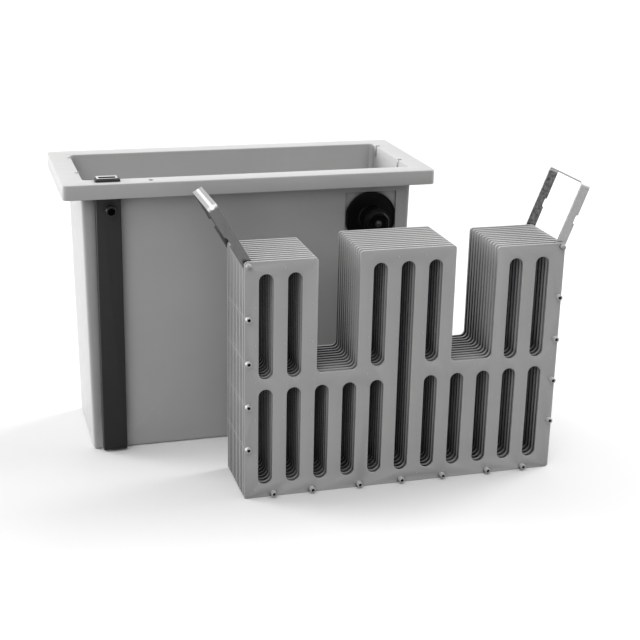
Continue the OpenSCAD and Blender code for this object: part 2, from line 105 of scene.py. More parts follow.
def addNoise(tree, place, scale, detail, stretch=None, turn=(0, 0, 0)):
    noise = addNode(tree, "TexNoise")
    noise.inputs["Scale"].default_value = scale
    noise.inputs["Detail"].default_value = detail
    if stretch:
        mapping = addNode(tree, "Mapping")
        mapping.inputs["Scale"].default_value = stretch
        mapping.inputs["Rotation"].default_value = [math.radians(angle) for angle in turn]
        tree.links.new(place, mapping.inputs["Vector"])
        place = mapping.outputs["Vector"]
    tree.links.new(place, noise.inputs["Vector"])
    return noise.outputs["Fac"]


def addBump(tree, shader, height, strength, depth):
    bump = addNode(tree, "Bump")
    bump.inputs["Strength"].default_value = strength
    bump.inputs["Distance"].default_value = depth
    tree.links.new(height, bump.inputs["Height"])
    tree.links.new(bump.outputs["Normal"], shader.inputs["Normal"])


def grey(tone):
    return (tone, tone, tone, 1)


def tinted(colour, share):
    return tuple(min(1.0, part * share) for part in colour) + (1.0,)


def newMaterial(name):
    material = bpy.data.materials.new(name)
    material.use_nodes = True
    return material, material.node_tree, material.node_tree.nodes["Principled BSDF"]


# camera, lamps and floor

cameraView = {"place": (-411.77, -1832.72, 795.25), "turn": -0.286492, "tilt": 0.329432,
              "roll": 0.020969, "lens": 74.42}
lampPlan = {
    "topLamp": {"from": (-0.05, 0.16, 0.98), "strength": 1.9, "spread": 85},
    "rightLamp": {"from": (0.80, 0.22, 0.56), "strength": 2.0, "spread": 35},
    "leftLamp": {"from": (-0.84, 0.52, 0.14), "strength": 4.0, "spread": 35},
    "frontLamp": {"from": (-0.38, -0.71, 0.58), "strength": 0.8, "spread": 45},
}
roomTones = {"backdrop": 1.0, "fill": 0.1}
# what the eye sees, and what the floor throws back on the object
floorPlan = {"seen": 0.86, "lighting": 0.32, "size": 60, "roughness": 0.9, "shine": 0.1,
             "drop": 0.0003}


def addCamera(plan):
    bpy.ops.object.camera_add(location=inMetres(plan["place"]))
    camera = bpy.context.object
    tilted = Matrix.Rotation(math.pi / 2 - plan["tilt"], 3, "X")
    level = Matrix.Rotation(plan["turn"], 3, "Z") @ tilted
    camera.rotation_euler = (level @ Matrix.Rotation(plan["roll"], 3, "Z")).to_euler()
    camera.data.sensor_width = 36
    camera.data.lens = plan["lens"]
    camera.data.clip_end = 200
    bpy.context.scene.camera = camera


def addLamps(plan):
    for name, lamp in plan.items():
        bpy.ops.object.light_add(type="SUN", location=Vector(lamp["from"]) * 3)
        sun = bpy.context.object
        sun.name = name
        sun.data.energy = lamp["strength"]
        sun.data.angle = math.radians(lamp["spread"])
        sun.rotation_euler = Vector(lamp["from"]).to_track_quat("Z", "Y").to_euler()


def seenByEye(tree):
    # 1 for what the camera, a reflection or a clear surface sees, 0 for light that falls on things
    rays = addNode(tree, "LightPath").outputs
    direct = addMath(tree, "MAXIMUM", rays["Is Camera Ray"], rays["Is Glossy Ray"])
    return addMath(tree, "MAXIMUM", direct, rays["Is Transmission Ray"])


def addWorld(tones):
    world = bpy.data.worlds.new("paleRoom")
    bpy.context.scene.world = world
    world.use_nodes = True
    tree = world.node_tree
    tree.nodes.clear()
    mix = addNode(tree, "MixShader")
    tree.links.new(seenByEye(tree), mix.inputs[0])
    for socket, strength in ((mix.inputs[1], tones["fill"]), (mix.inputs[2], tones["backdrop"])):
        background = addNode(tree, "Background")
        background.inputs["Color"].default_value = grey(1)
        background.inputs["Strength"].default_value = strength
        tree.links.new(background.outputs[0], socket)
    tree.links.new(mix.outputs[0], addNode(tree, "OutputWorld").inputs["Surface"])


def addFloor(plan):
    bpy.ops.mesh.primitive_plane_add(size=plan["size"], location=(0, 0, -plan["drop"]))
    floor = bpy.context.object
    floor.name = "paleFloor"
    bpy.ops.object.transform_apply(location=True, rotation=True, scale=True)
    paper, tree, shader = newMaterial("paleFloorPaper")
    shader.inputs["Roughness"].default_value = plan["roughness"]
    shader.inputs["Specular IOR Level"].default_value = plan["shine"]
    tone = mixTones(tree, seenByEye(tree), grey(plan["lighting"]), grey(plan["seen"]))
    tree.links.new(tone, shader.inputs["Base Color"])
    floor.data.materials.append(paper)


bpy.context.scene.view_settings.view_transform = "Standard"
addCamera(cameraView)
addLamps(lampPlan)
addWorld(roomTones)
addFloor(floorPlan)
print("camera, lamps and floor are in place")


# modelling helpers

def only(piece):
    if bpy.context.mode != "OBJECT":
        bpy.ops.object.mode_set(mode="OBJECT")
    bpy.ops.object.select_all(action="DESELECT")
    piece.select_set(True)
    bpy.context.view_layer.objects.active = piece


def rename(piece, name):
    piece.name = name
    piece.data.name = name
    return piece


def settle(piece, name=None):
    # the place goes into the mesh, and the object stays at the origin
    only(piece)
    bpy.ops.object.transform_apply(location=True, rotation=True, scale=True)
    return rename(piece, name) if name else piece


def edit(piece, kind="FACE", select="DESELECT"):
    only(piece)
    bpy.ops.object.mode_set(mode="EDIT")
    bpy.ops.mesh.select_mode(type=kind)
    bpy.ops.mesh.select_all(action=select)


def done():
    bpy.ops.object.mode_set(mode="OBJECT")


def pick(piece, wanted, kind="faces"):
    shape = bmesh.from_edit_mesh(piece.data)
    for element in getattr(shape, kind):
        element.select_set(bool(wanted(element)))
    shape.select_flush_mode()
    bmesh.update_edit_mesh(piece.data)


def middleOf(element):
    total = Vector((0, 0, 0))
    for vert in element.verts:
        total += vert.co
    return total / len(element.verts) / mm


def runsAlong(edge, axis):
    line = edge.verts[1].co - edge.verts[0].co
    return line.length > 1e-7 and abs(line.normalized()[axis]) > 0.999


def extrudeBy(shift):
    bpy.ops.mesh.extrude_region_move(TRANSFORM_OT_translate={"value": inMetres(shift)})


def bevelEdges(piece, wanted, width, steps=2):
    edit(piece, "EDGE")
    pick(piece, wanted, "edges")
    bpy.ops.mesh.bevel(offset=width * mm, offset_type="OFFSET", segments=steps, profile=0.5,
                       affect="EDGES", clamp_overlap=True)
    done()


def withModifier(piece, kind, **settings):
    only(piece)
    bpy.ops.object.modifier_add(type=kind)
    modifier = piece.modifiers[-1]
    for key, value in settings.items():
        setattr(modifier, key, value)
    bpy.ops.object.modifier_apply(modifier=modifier.name)


def soften(piece, width, steps=2, angle=35):
    withModifier(piece, "BEVEL", width=width * mm, segments=steps, limit_method="ANGLE",
                 angle_limit=math.radians(angle), use_clamp_overlap=True)


def smooth(piece, angle):
    only(piece)
    bpy.ops.object.shade_smooth_by_angle(angle=math.radians(angle))


def carve(piece, cutter, how="DIFFERENCE"):
    only(cutter)
    withModifier(piece, "BOOLEAN", object=cutter, operation=how, solver="EXACT")
    bpy.data.objects.remove(cutter)


def tidyMesh(piece):
    edit(piece, "VERT", "SELECT")
    bpy.ops.mesh.remove_doubles(threshold=2e-6)
    bpy.ops.mesh.normals_make_consistent(inside=False)
    done()


def joined(pieces, name=None):
    only(pieces[0])
    for piece in pieces:
        piece.select_set(True)
    bpy.ops.object.join()
    whole = bpy.context.object
    return rename(whole, name) if name else whole


def addPrimitive(kind, **settings):
    bpy.ops.object.select_all(action="DESELECT")
    getattr(bpy.ops.mesh, "primitive_%s_add" % kind)(**settings)
    return bpy.context.object


def addBlock(name, low, high):
    low, high = Vector(low), Vector(high)
    block = addPrimitive("cube", size=1, location=(low + high) / 2 * mm)
    block.scale = (high - low) * mm
    return settle(block, name)


def addTurned(name, start, axis, profile, steps=48, loop=False):
    # a profile of (way along the axis, radius) points, spun round that axis
    start, axis = inMetres(start), Vector(axis).normalized()
    side = axis.orthogonal().normalized()
    spots = [start + (axis * along + side * radius) * mm for along, radius in profile]
    if loop:
        spots.append(spots[0])
    piece = addPrimitive("plane", size=0.01, location=(0, 0, 0))
    edit(piece, "VERT", "SELECT")
    bpy.ops.mesh.merge(type="CENTER")
    bpy.ops.transform.translate(value=spots[0])
    for before, after in zip(spots, spots[1:]):
        bpy.ops.mesh.extrude_vertices_move(TRANSFORM_OT_translate={"value": after - before})
    bpy.ops.mesh.select_all(action="SELECT")
    bpy.ops.mesh.spin(steps=steps, angle=math.tau, center=start, axis=axis)
    done()
    settle(piece, name)
    tidyMesh(piece)
    return piece


def addBar(name, start, axis, radius, length, steps):
    return addTurned(name, start, axis, [(0, 0), (0, radius), (length, radius), (length, 0)], steps)


def drill(piece, *bar):
    carve(piece, addBar("hole", *bar))


def copyTo(piece, name, shift):
    twin = piece.copy()
    twin.data = piece.data.copy()
    bpy.context.scene.collection.objects.link(twin)
    twin.data.transform(Matrix.Translation(inMetres(shift)))
    return rename(twin, name)


def dress(piece, body, finish, slotName, *nodes, angle=32):
    smooth(piece, angle)
    piece.data.materials.clear()
    piece.data.materials.append(finishes[finish])
    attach(piece, body)
    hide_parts(*nodes)


# finishes: clouds and lines are shares of the colour, sizes and reaches are in metres

plasticPlan = {
    "tankPlastic": {
        "colour": (0.5, 0.5, 0.497), "roughness": 0.42, "clouds": 0.03, "scuffs": 0.12,
        "grainSize": 0.0016, "grainDepth": 0.00003,
        # painted shade under the rim skirt and in recesses, kept off the foot
        "depth": {"reach": 0.035, "closed": 0.25, "open": 0.8, "share": 0.1,
                  "above": (0.015, 0.05)}},
    "dividerPlastic": {
        "colour": (0.495, 0.495, 0.492), "roughness": 0.5, "clouds": 0.03, "cloudSize": 0.08,
        # painted highlight on rims facing right, painted shade on rims and sawn edges facing left
        "grainSize": 0.001, "rimLightAndShade": {"left": 0.8, "right": 1.7, "sawnLeftShade": 0.8},
        # painted shade deep in the gaps between plates and down the slots
        "depth": {"reach": 0.16, "closed": 0.24, "open": 0.43, "share": 0.02, "samples": 16,
                  "sawn": (0.03, 0.3)}},
    "ductPlastic": {
        "colour": (0.018, 0.018, 0.018), "roughness": 0.42, "clouds": 0.12, "grainDepth": 0.00005,
        "edgeToneAndHighlight": 2.2, "specular": 0.2,
        # painted shade inside the duct
        "depth": {"reach": 0.012, "closed": 0.1, "open": 0.6, "share": 0.05}},
    "valvePlastic": {
        "colour": (0.0035, 0.0035, 0.0036), "roughness": 0.36, "clouds": 0.1, "grainSize": 0.0009,
        "edgeToneAndHighlight": 2.5, "specular": 0.08},
    "knobPlastic": {
        "colour": (0.003, 0.003, 0.0031), "roughness": 0.42, "clouds": 0.08, "grainDepth": 0.00001,
        # the knob's bright ring edge is a painted highlight
        "edgeToneAndHighlight": 14, "specular": 0.05},
    "rotorPlastic": {"colour": (0.6, 0.6, 0.58), "roughness": 0.4, "clouds": 0.03},
    "palePlastic": {
        "colour": (0.52, 0.52, 0.515), "roughness": 0.42, "clouds": 0.04, "cloudSize": 0.02,
        # painted shade inside the tie tubes' bores
        "depth": {"reach": 0.008, "closed": 0.2, "open": 0.6, "share": 0.02}},
    "capPlastic": {"colour": (0.36, 0.36, 0.355), "roughness": 0.5, "cloudSize": 0.01},
    "collarPlastic": {
        # the pale colour stays only on the top faces, as a painted highlight
        "colour": (0.5, 0.5, 0.495), "roughness": 0.4, "clouds": 0.04, "cloudSize": 0.02,
        "sidesShare": 0.012},
    "sealRubber": {
        "colour": (0.03, 0.03, 0.03), "roughness": 0.7, "clouds": 0.15, "grainSize": 0.0005,
        "specular": 0.3},
}
steelPlan = {
    "clipSteel": {"colour": (0.42, 0.42, 0.42), "roughness": 0.42},
    "washerSteel": {"colour": (0.05, 0.05, 0.05), "roughness": 0.4},
    # painted shade: the screw head's steel is made dark, as the rim and rack shade it
    "shadedHeadSteel": {"colour": (0.09, 0.09, 0.09), "roughness": 0.35, "lines": 0.1,
                  "lineScale": (300, 300, 20)},
    "screwSteel": {"colour": (0.75, 0.75, 0.74), "roughness": 0.25, "lines": 0.05,
                   "lineScale": (300, 300, 20)},
}


def addPaintedShade(tree, tone, colour, depth):
    # painted shade: deep between close walls the colour is darkened where shade falls, as in any
    # narrow gap
    shelter = addNode(tree, "AmbientOcclusion", samples=depth.get("samples", 6))
    shelter.inputs["Distance"].default_value = depth["reach"]
    openness, paintedShadeColour = shelter.outputs["AO"], tinted(colour, depth["share"])
    shaded = mixTones(tree, remap(tree, openness, depth["closed"], depth["open"]), paintedShadeColour, tone)
    if "above" in depth:     # the painted shade stays off the foot, however near the bench is
        height = splitUp(tree, coordinates(tree)["Object"])["Z"]
        shaded = mixTones(tree, remap(tree, height, *depth["above"]), tone, shaded)
    if "sawn" in depth:     # painted shade: sawn edges are darkened less than the broad faces behind them, as they catch more light
        facing = splitUp(tree, coordinates(tree)["Normal"])["Y"]
        broad = remap(tree, addMath(tree, "ABSOLUTE", facing), 0.95, 0.99)
        edges = mixTones(tree, remap(tree, openness, *depth["sawn"]), paintedShadeColour, tone)
        shaded = mixTones(tree, broad, edges, shaded)
    return shaded


def addRimLightAndShade(tree, tone, colour, shares):
    # painted light and shade on the rounded rims between a plate's broad faces and its sawn edges, by
    # the way they face
    facing = splitUp(tree, coordinates(tree)["Normal"])
    ramp = addNode(tree, "ValToRGB")
    tree.links.new(addMath(tree, "ABSOLUTE", facing["Y"]), ramp.inputs["Fac"])
    stops = ramp.color_ramp.elements
    stops[0].position, stops[0].color = 0.22, grey(0)
    stops[1].position, stops[1].color = 0.985, grey(0)
    for place in (0.35, 0.94):
        stops.new(place).color = grey(1)
    # sawn edges facing left are painted darker, as shade
    leftwards = remap(tree, facing["X"], -0.98, -0.8, 1, 0)
    tone = mixTones(tree, leftwards, tone, tinted(colour, shares["sawnLeftShade"]))
    # rims facing right are painted lighter as a highlight, and rims facing left darker as shade
    rightwards = remap(tree, facing["X"], -0.3, 0.3)
    rim = mixTones(tree, rightwards, tinted(colour, shares["left"]),
                   tinted(colour, shares["right"]))
    return mixTones(tree, ramp.outputs["Color"], tone, rim)


def mouldedPlastic(name, colour, roughness, clouds=0.05, cloudSize=0.12, grainSize=0.0012,
                   grainDepth=0.00004, edgeToneAndHighlight=1.12, scuffs=0.0, specular=0.5, rimLightAndShade=None,
                   depth=None, sidesShare=None):
    plastic, tree, shader = newMaterial(name)
    shader.inputs["Specular IOR Level"].default_value = specular
    place = coordinates(tree)["Object"]
    cloud = remap(tree, addNoise(tree, place, 1 / cloudSize, 4.0), 0.3, 0.7)
    tone = mixTones(tree, cloud, tinted(colour, 1 - clouds), tinted(colour, 1 + clouds))
    if rimLightAndShade:
        tone = addRimLightAndShade(tree, tone, colour, rimLightAndShade)
    else:     # a trimmed edge is a little lighter than the face, and on the dark plastics the lighter edge is a painted highlight
        pointed = addNode(tree, "NewGeometry").outputs["Pointiness"]
        tone = mixTones(tree, remap(tree, pointed, 0.53, 0.6), tone, tinted(colour, edgeToneAndHighlight))
    if scuffs:
        streak = addNoise(tree, place, 9, 6.0, stretch=(9, 9, 0.8), turn=(0, 8, 0))
        tone = mixTones(tree, remap(tree, streak, 0.62, 0.78, 0, scuffs), tone, tinted(colour, 1.3))
    # painted shade in gaps and recesses, from ambient occlusion
    if depth:
        tone = addPaintedShade(tree, tone, colour, depth)
    if sidesShare:     # dark on its sides, and pale on top as a painted highlight
        upward = splitUp(tree, coordinates(tree)["Normal"])["Z"]
        tone = mixTones(tree, remap(tree, upward, 0.5, 0.85), tinted(colour, sidesShare), tone)
    tree.links.new(tone, shader.inputs["Base Color"])
    haze = remap(tree, addNoise(tree, place, 60, 5.0), 0.3, 0.7, roughness - 0.05, roughness + 0.07)
    tree.links.new(haze, shader.inputs["Roughness"])
    addBump(tree, shader, addNoise(tree, place, 1 / grainSize, 2.0), 0.5, grainDepth)
    return plastic


def rolledSteel(name, colour, roughness, turn=0.0, lines=0.12, lineScale=(700, 6, 6)):
    steel, tree, shader = newMaterial(name)
    shader.inputs["Metallic"].default_value = 1.0
    place = coordinates(tree)["Object"]
    brushed = addNoise(tree, place, 1.0, 4.0, stretch=lineScale, turn=(0, turn, 0))
    tone = mixTones(tree, remap(tree, brushed, 0.25, 0.75), tinted(colour, 1 - lines),
                    tinted(colour, 1 + lines))
    stains = remap(tree, addNoise(tree, place, 30, 4.0), 0.55, 0.75, 0, 0.35)
    tree.links.new(mixTones(tree, stains, tone, tinted(colour, 0.7)), shader.inputs["Base Color"])
    worn = remap(tree, brushed, 0.2, 0.8, roughness - 0.08, roughness + 0.1)
    tree.links.new(worn, shader.inputs["Roughness"])
    addBump(tree, shader, brushed, 0.35, 0.00004)
    return steel


finishes = {name: mouldedPlastic(name, **plan) for name, plan in plasticPlan.items()}
finishes.update({name: rolledSteel(name, **plan) for name, plan in steelPlan.items()})
print("finishes are mixed")


# tank

tankPlan = {
    "height": 394, "opening": (231.0, 83.175), "wall": 3.5, "floor": 4.0, "cornerRadius": 6.0,
    "cornerCuts": 6, "flange": 30.0, "flangeThick": 3.5, "skirt": 20.4, "skirtThick": 3.0,
    "edges": {"foot": 2.5, "underFlange": 2.0, "skirtInside": 1.0, "skirtLip": 0.7, "rimEdge": 1.6,
              "openingEdge": 1.4, "inside": 3.0},
    "rimHole": (-141.5, -98.175, 3.25), "notchFoot": 384.0,
    "port": {"foot": 4.2, "top": 16.0, "front": -83.0, "back": -73.0, "corner": 1.5},
}
ductPlan = {"middle": -199.5, "width": 33.5, "proud": 14.0, "wall": 2.5, "footGap": 3.0,
            "mouth": 3.4, "frontAtRim": -86.675, "edge": 1.6, "insideEdge": 0.8, "mouthEdge": 0.4}
valvePlan = {"x": 174.5, "z": 322.7, "pad": -83.707, "padThick": 5.0, "padSink": 0.6,
             "padEdge": 1.2, "recess": 37.8, "recessEdge": 0.6, "tailHole": 15.53, "cutFrom": -95.0}


def stackShell(name, steps, cornerRadius, cornerCuts):
    # each step is (half width, half depth, height, edge rounding), and the last face moves on
    halfX, halfY, z = steps[0][:3]
    widest = max(step[3] for step in steps)
    shell = addPrimitive("plane", size=2, location=(0, 0, z * mm))
    shell.scale = (halfX * mm, halfY * mm, 1)
    settle(shell, name)
    edit(shell, select="SELECT")
    bpy.ops.mesh.bevel(offset=cornerRadius * mm, segments=cornerCuts, affect="VERTICES")
    for before, after in zip([None] + steps[:-1], steps):
        if before:
            extrudeBy((0, 0, after[2] - before[2]))
            bpy.ops.transform.resize(value=(after[0] / before[0], after[1] / before[1], 1),
                                     center_override=(0, 0, after[2] * mm))
        shape = bmesh.from_edit_mesh(shell.data)
        weights = shape.edges.layers.float
        layer = weights.get("bevel_weight_edge") or weights.new("bevel_weight_edge")
        for face in shape.faces:
            if face.select:
                for side in face.edges:
                    side[layer] = after[3] / widest
        bmesh.update_edit_mesh(shell.data)
    done()
    tidyMesh(shell)
    withModifier(shell, "BEVEL", width=widest * mm, segments=3, limit_method="WEIGHT",
                 use_clamp_overlap=False)
    return shell


def mouldTank(plan):
    halfX, halfY = plan["opening"]
    wall, top, rounds = plan["wall"], plan["height"], plan["edges"]
    underside, lip = top - plan["flangeThick"], top - plan["skirt"]
    reachX, reachY = halfX + plan["flange"], halfY + plan["flange"]
    insideX, insideY = reachX - plan["skirtThick"], reachY - plan["skirtThick"]
    inward = (top - plan["floor"]) * math.tan(draft)

    def outer(z):
        drawnIn = wall - (top - z) * math.tan(draft)
        return halfX + drawnIn, halfY + drawnIn

    steps = [
        (*outer(0), 0, rounds["foot"]),
        (*outer(underside), underside, rounds["underFlange"]),
        (insideX, insideY, underside, rounds["skirtInside"]),
        (insideX, insideY, lip, rounds["skirtLip"]),
        (reachX, reachY, lip, rounds["skirtLip"]),
        (reachX, reachY, top, rounds["rimEdge"]),
        (halfX, halfY, top, rounds["openingEdge"]),
        (halfX - inward, halfY - inward, plan["floor"], rounds["inside"]),
    ]
    return stackShell("tankMoulding", steps, plan["cornerRadius"], plan["cornerCuts"])


def seatValve(tank, wall, plan):
    # a square pad inside the front wall, a recess in front of it and the hole for the tail
    x, z, inner = plan["x"], plan["z"], plan["pad"] + plan["padThick"]
    half = plan["recess"] + wall
    pad = addBlock("pad", (x - half, plan["pad"] - plan["padSink"], z - half),
                   (x + half, inner, z + half))
    bevelEdges(pad, lambda e: middleOf(e)[1] > inner - 0.1, plan["padEdge"], 3)
    carve(tank, pad, "UNION")
    half = plan["recess"]
    recess = addBlock("recess", (x - half, plan["cutFrom"], z - half),
                      (x + half, plan["pad"], z + half))
    bevelEdges(recess, lambda e: runsAlong(e, 1), plan["recessEdge"], 2)
    carve(tank, recess)
    drill(tank, (x, plan["cutFrom"], z), backwards, plan["tailHole"], 30, 64)


def buildTank(plan, duct, valve):
    tank = mouldTank(plan)
    seatValve(tank, plan["wall"], valve)

    # notch for the duct, water port at its foot, and the small hole in the flange
    middle, half = duct["middle"], duct["width"] / 2 + seam
    front = duct["frontAtRim"]
    carve(tank, addBlock("notch", (middle - half, front - duct["proud"] - seam, plan["notchFoot"]),
                         (middle + half, front + 0.3, plan["height"] + 10)))
    half, port = duct["width"] / 2 - duct["wall"], plan["port"]
    water = addBlock("port", (middle - half, port["front"], port["foot"]),
                     (middle + half, port["back"], port["top"]))
    bevelEdges(water, lambda e: runsAlong(e, 1), port["corner"], 3)
    carve(tank, water)
    holeX, holeY, holeRadius = plan["rimHole"]
    drill(tank, (holeX, holeY, plan["height"] - 14), upwards, holeRadius, 20, 24)
    dress(tank, "tank", "tankPlastic", "tank_plastic", "tank_shell", angle=30)


buildTank(tankPlan, ductPlan, valvePlan)
print("tank is moulded")


# inlet duct, its collar and the hose spigot

collarPlan = {"border": 3.0, "slot": 8.5, "height": 4.4, "depth": 17.75, "edge": 0.4, "corner": 1.0}
spigotPlan = {"x": -197.5, "z": 356.6, "wallMiddle": -98.903, "radius": 7.0, "bore": 5.2,
              "front": 16.25, "seat": 1.45, "ringRadius": 9.3, "ring": 1.3, "lip": 1.0,
              "edge": 0.35, "cutFrom": -110.0}


def buildDuct(plan, spigot, tank):
    # upright in its own place first, then leant against the wall
    rise = plan["mouth"] / math.cos(draft)
    foot = (plan["footGap"] - tank["height"]) / math.cos(draft)
    half, front, wall = plan["width"] / 2, -plan["proud"], plan["wall"]
    duct = addBlock("inletDuct", (-half, front, foot), (half, -seam, rise))
    bevelEdges(duct, lambda e: (runsAlong(e, 2) and middleOf(e)[1] < front + 0.1)
               or (middleOf(e)[2] < foot + 0.1 and middleOf(e)[1] < -0.1), plan["edge"], 3)
    channel = addBlock("channel", (wall - half, front + wall, foot + wall),
                       (half - wall, 5, rise + 10))
    bevelEdges(channel, lambda e: runsAlong(e, 2) and middleOf(e)[1] < 0, plan["insideEdge"], 2)
    carve(duct, channel)
    bevelEdges(duct, lambda e: all(abs(v.co[2] / mm - rise) < 0.01 for v in e.verts)
               and middleOf(e)[1] < -0.1, plan["mouthEdge"], 2)
    duct.rotation_euler = (draft, 0, 0)
    duct.location = inMetres((plan["middle"], plan["frontAtRim"], tank["height"]))
    settle(duct)
    drill(duct, (spigot["x"], spigot["cutFrom"], spigot["z"]), backwards,
          spigot["radius"] + loose, 16, 32)
    dress(duct, "tank", "ductPlastic", "duct_plastic", "inlet_duct")


def buildCollar(plan, duct, tank):
    foot = tank["height"] + seam
    middle, half = duct["middle"], duct["width"] / 2 - duct["wall"] - seam
    front = duct["frontAtRim"] - duct["proud"] + duct["wall"] + seam
    collar = addBlock("mouthCollar", (middle - half, front, foot),
                      (middle + half, front + plan["depth"], foot + plan["height"]))
    inner, slotFront = half - plan["border"] + seam, front + plan["border"]
    hole = addBlock("mouth", (middle - inner, slotFront, foot - 4),
                    (middle + inner, slotFront + plan["slot"], foot + 8))
    bevelEdges(hole, lambda e: runsAlong(e, 2), plan["corner"], 3)
    carve(collar, hole)
    soften(collar, plan["edge"], 2)
    dress(collar, "tank", "collarPlastic", "pale_plastic", "mouth_collar")


def buildSpigot(plan):
    seat, radius, ringRadius, bore = plan["seat"], plan["radius"], plan["ringRadius"], plan["bore"]
    profile = [
        (-seat - plan["lip"], bore), (-seat - plan["lip"], ringRadius), (-seat, ringRadius),
        (-seat, radius), (seat, radius), (seat, ringRadius), (seat + plan["ring"], ringRadius),
        (seat + plan["ring"], radius), (plan["front"], radius), (plan["front"], bore),
    ]
    start = (plan["x"], plan["wallMiddle"], plan["z"])
    spigot = addTurned("hoseSpigot", start, forwards, profile, 48, loop=True)
    soften(spigot, plan["edge"], 2)
    dress(spigot, "tank", "ductPlastic", "duct_plastic", "hose_spigot")


buildDuct(ductPlan, spigotPlan, tankPlan)
buildCollar(collarPlan, ductPlan, tankPlan)
buildSpigot(spigotPlan)
print("inlet duct, collar and spigot are built")


# rim clips

clipPlan = {"width": 3.6, "thick": 1.0, "drop": 15.5, "reach": 5.0, "edge": 0.25,
            "places": (-36.175, 64.175), "pinFoot": -3.0,
            "pin": [(0, 0), (0, 0.5), (4.05, 0.5), (4.05, 0.95), (4.3, 0.75), (4.4, 0)]}


def buildClips(plan, tank):
    half, thick = plan["width"] / 2, plan["thick"]
    hang = addBlock("clip", (-thick - seam, -half, -plan["drop"]), (-seam, half, seam))
    hang.rotation_euler = (0, draft, 0)
    settle(hang)
    lap = addBlock("clipLap", (-thick - seam, -half, seam), (plan["reach"], half, seam + thick))
    clip = joined([hang, lap])
    soften(clip, plan["edge"], 2)
    pin = addTurned("clipPin", (plan["reach"] - thick, 0, plan["pinFoot"]), upwards,
                    plan["pin"], 16)
    clip = joined([clip, pin])
    clips = []
    for side, turn in ((-1, math.pi), (1, 0)):
        for y in plan["places"]:
            twin = copyTo(clip, "clipCopy", (0, 0, 0))
            twin.rotation_euler = (0, 0, turn)
            twin.location = inMetres((side * tank["opening"][0], y, tank["height"]))
            clips.append(settle(twin))
    bpy.data.objects.remove(clip)
    clips = joined(clips, "rimClips")
    dress(clips, "tank", "clipSteel", "dark_steel", "rim_clips")


buildClips(clipPlan, tankPlan)


# outlet valve and its knob

bodyPlan = {"radius": 37.4, "flat": 36.0, "seal": 1.0, "sealRadius": 34.0, "thick": 4.0,
            "border": 2.4, "step": 0.5, "edge": 0.5, "neckRadius": 17.0, "neckLength": 26.5,
            "neckEdge": 1.2, "shoulder": 2.1, "tailRadius": 15.5, "tailLength": 12.0, "bore": 12.95,
            "wall": 3.0, "spindleHole": 4.05, "window": 6.5, "threads": 7, "pitch": 1.5,
            "threadDepth": 0.7}
nutPlan = {"acrossFlats": 44.0, "thick": 7.0, "edge": 0.4,
           "turning": [(-1, 0), (-1, 27), (5.4, 27), (8, 22.4), (8, 0)]}
knobPlan = {"across": 19.0, "corner": 4.2, "length": 14.0, "foot": 3.6, "shoulder": 1.6,
            "taper": 0.84, "proud": 0.6, "lip": 2.0, "sink": 0.65, "backBorder": 2.2, "backSink": 1.2,
            "edge": 0.5, "dish": 7.0, "hubHeight": 1.2, "gap": 0.6}
screwPlan = {"head": 3.5, "headRound": [(1.3, 0), (1.75, 0.25), (2.05, 0.8), (2.2, 1.8)],
             "shank": 1.5, "length": 9.0, "slotWidth": 0.9, "slotFoot": 1.1, "washer": 5.1,
             "washerBore": 1.6, "washerThick": 0.8, "spindle": 4.0, "spindleEdge": 0.4,
             "spindleInside": 6.6, "threadHole": 1.53, "threadLength": 10}
rotorPlan = {"radius": 12.9, "bore": 9.5, "spindleHole": 4.03, "edge": 0.4}
hosePlan = {"radius": 9.5, "bore": 6.5, "length": 24.0, "collar": 11.5, "collarLength": 3.0}
neckFront = bodyPlan["seal"] + bodyPlan["thick"] + bodyPlan["neckLength"]
neckMiddle = neckFront - bodyPlan["neckLength"] / 2
padBack = -valvePlan["padThick"]
tailEnd = padBack - bodyPlan["tailLength"]


def atValve(along, x=0.0, z=0.0):
    # a place so far in front of the pad, on the valve's axis or beside it
    return (valvePlan["x"] + x, valvePlan["pad"] - along, valvePlan["z"] + z)


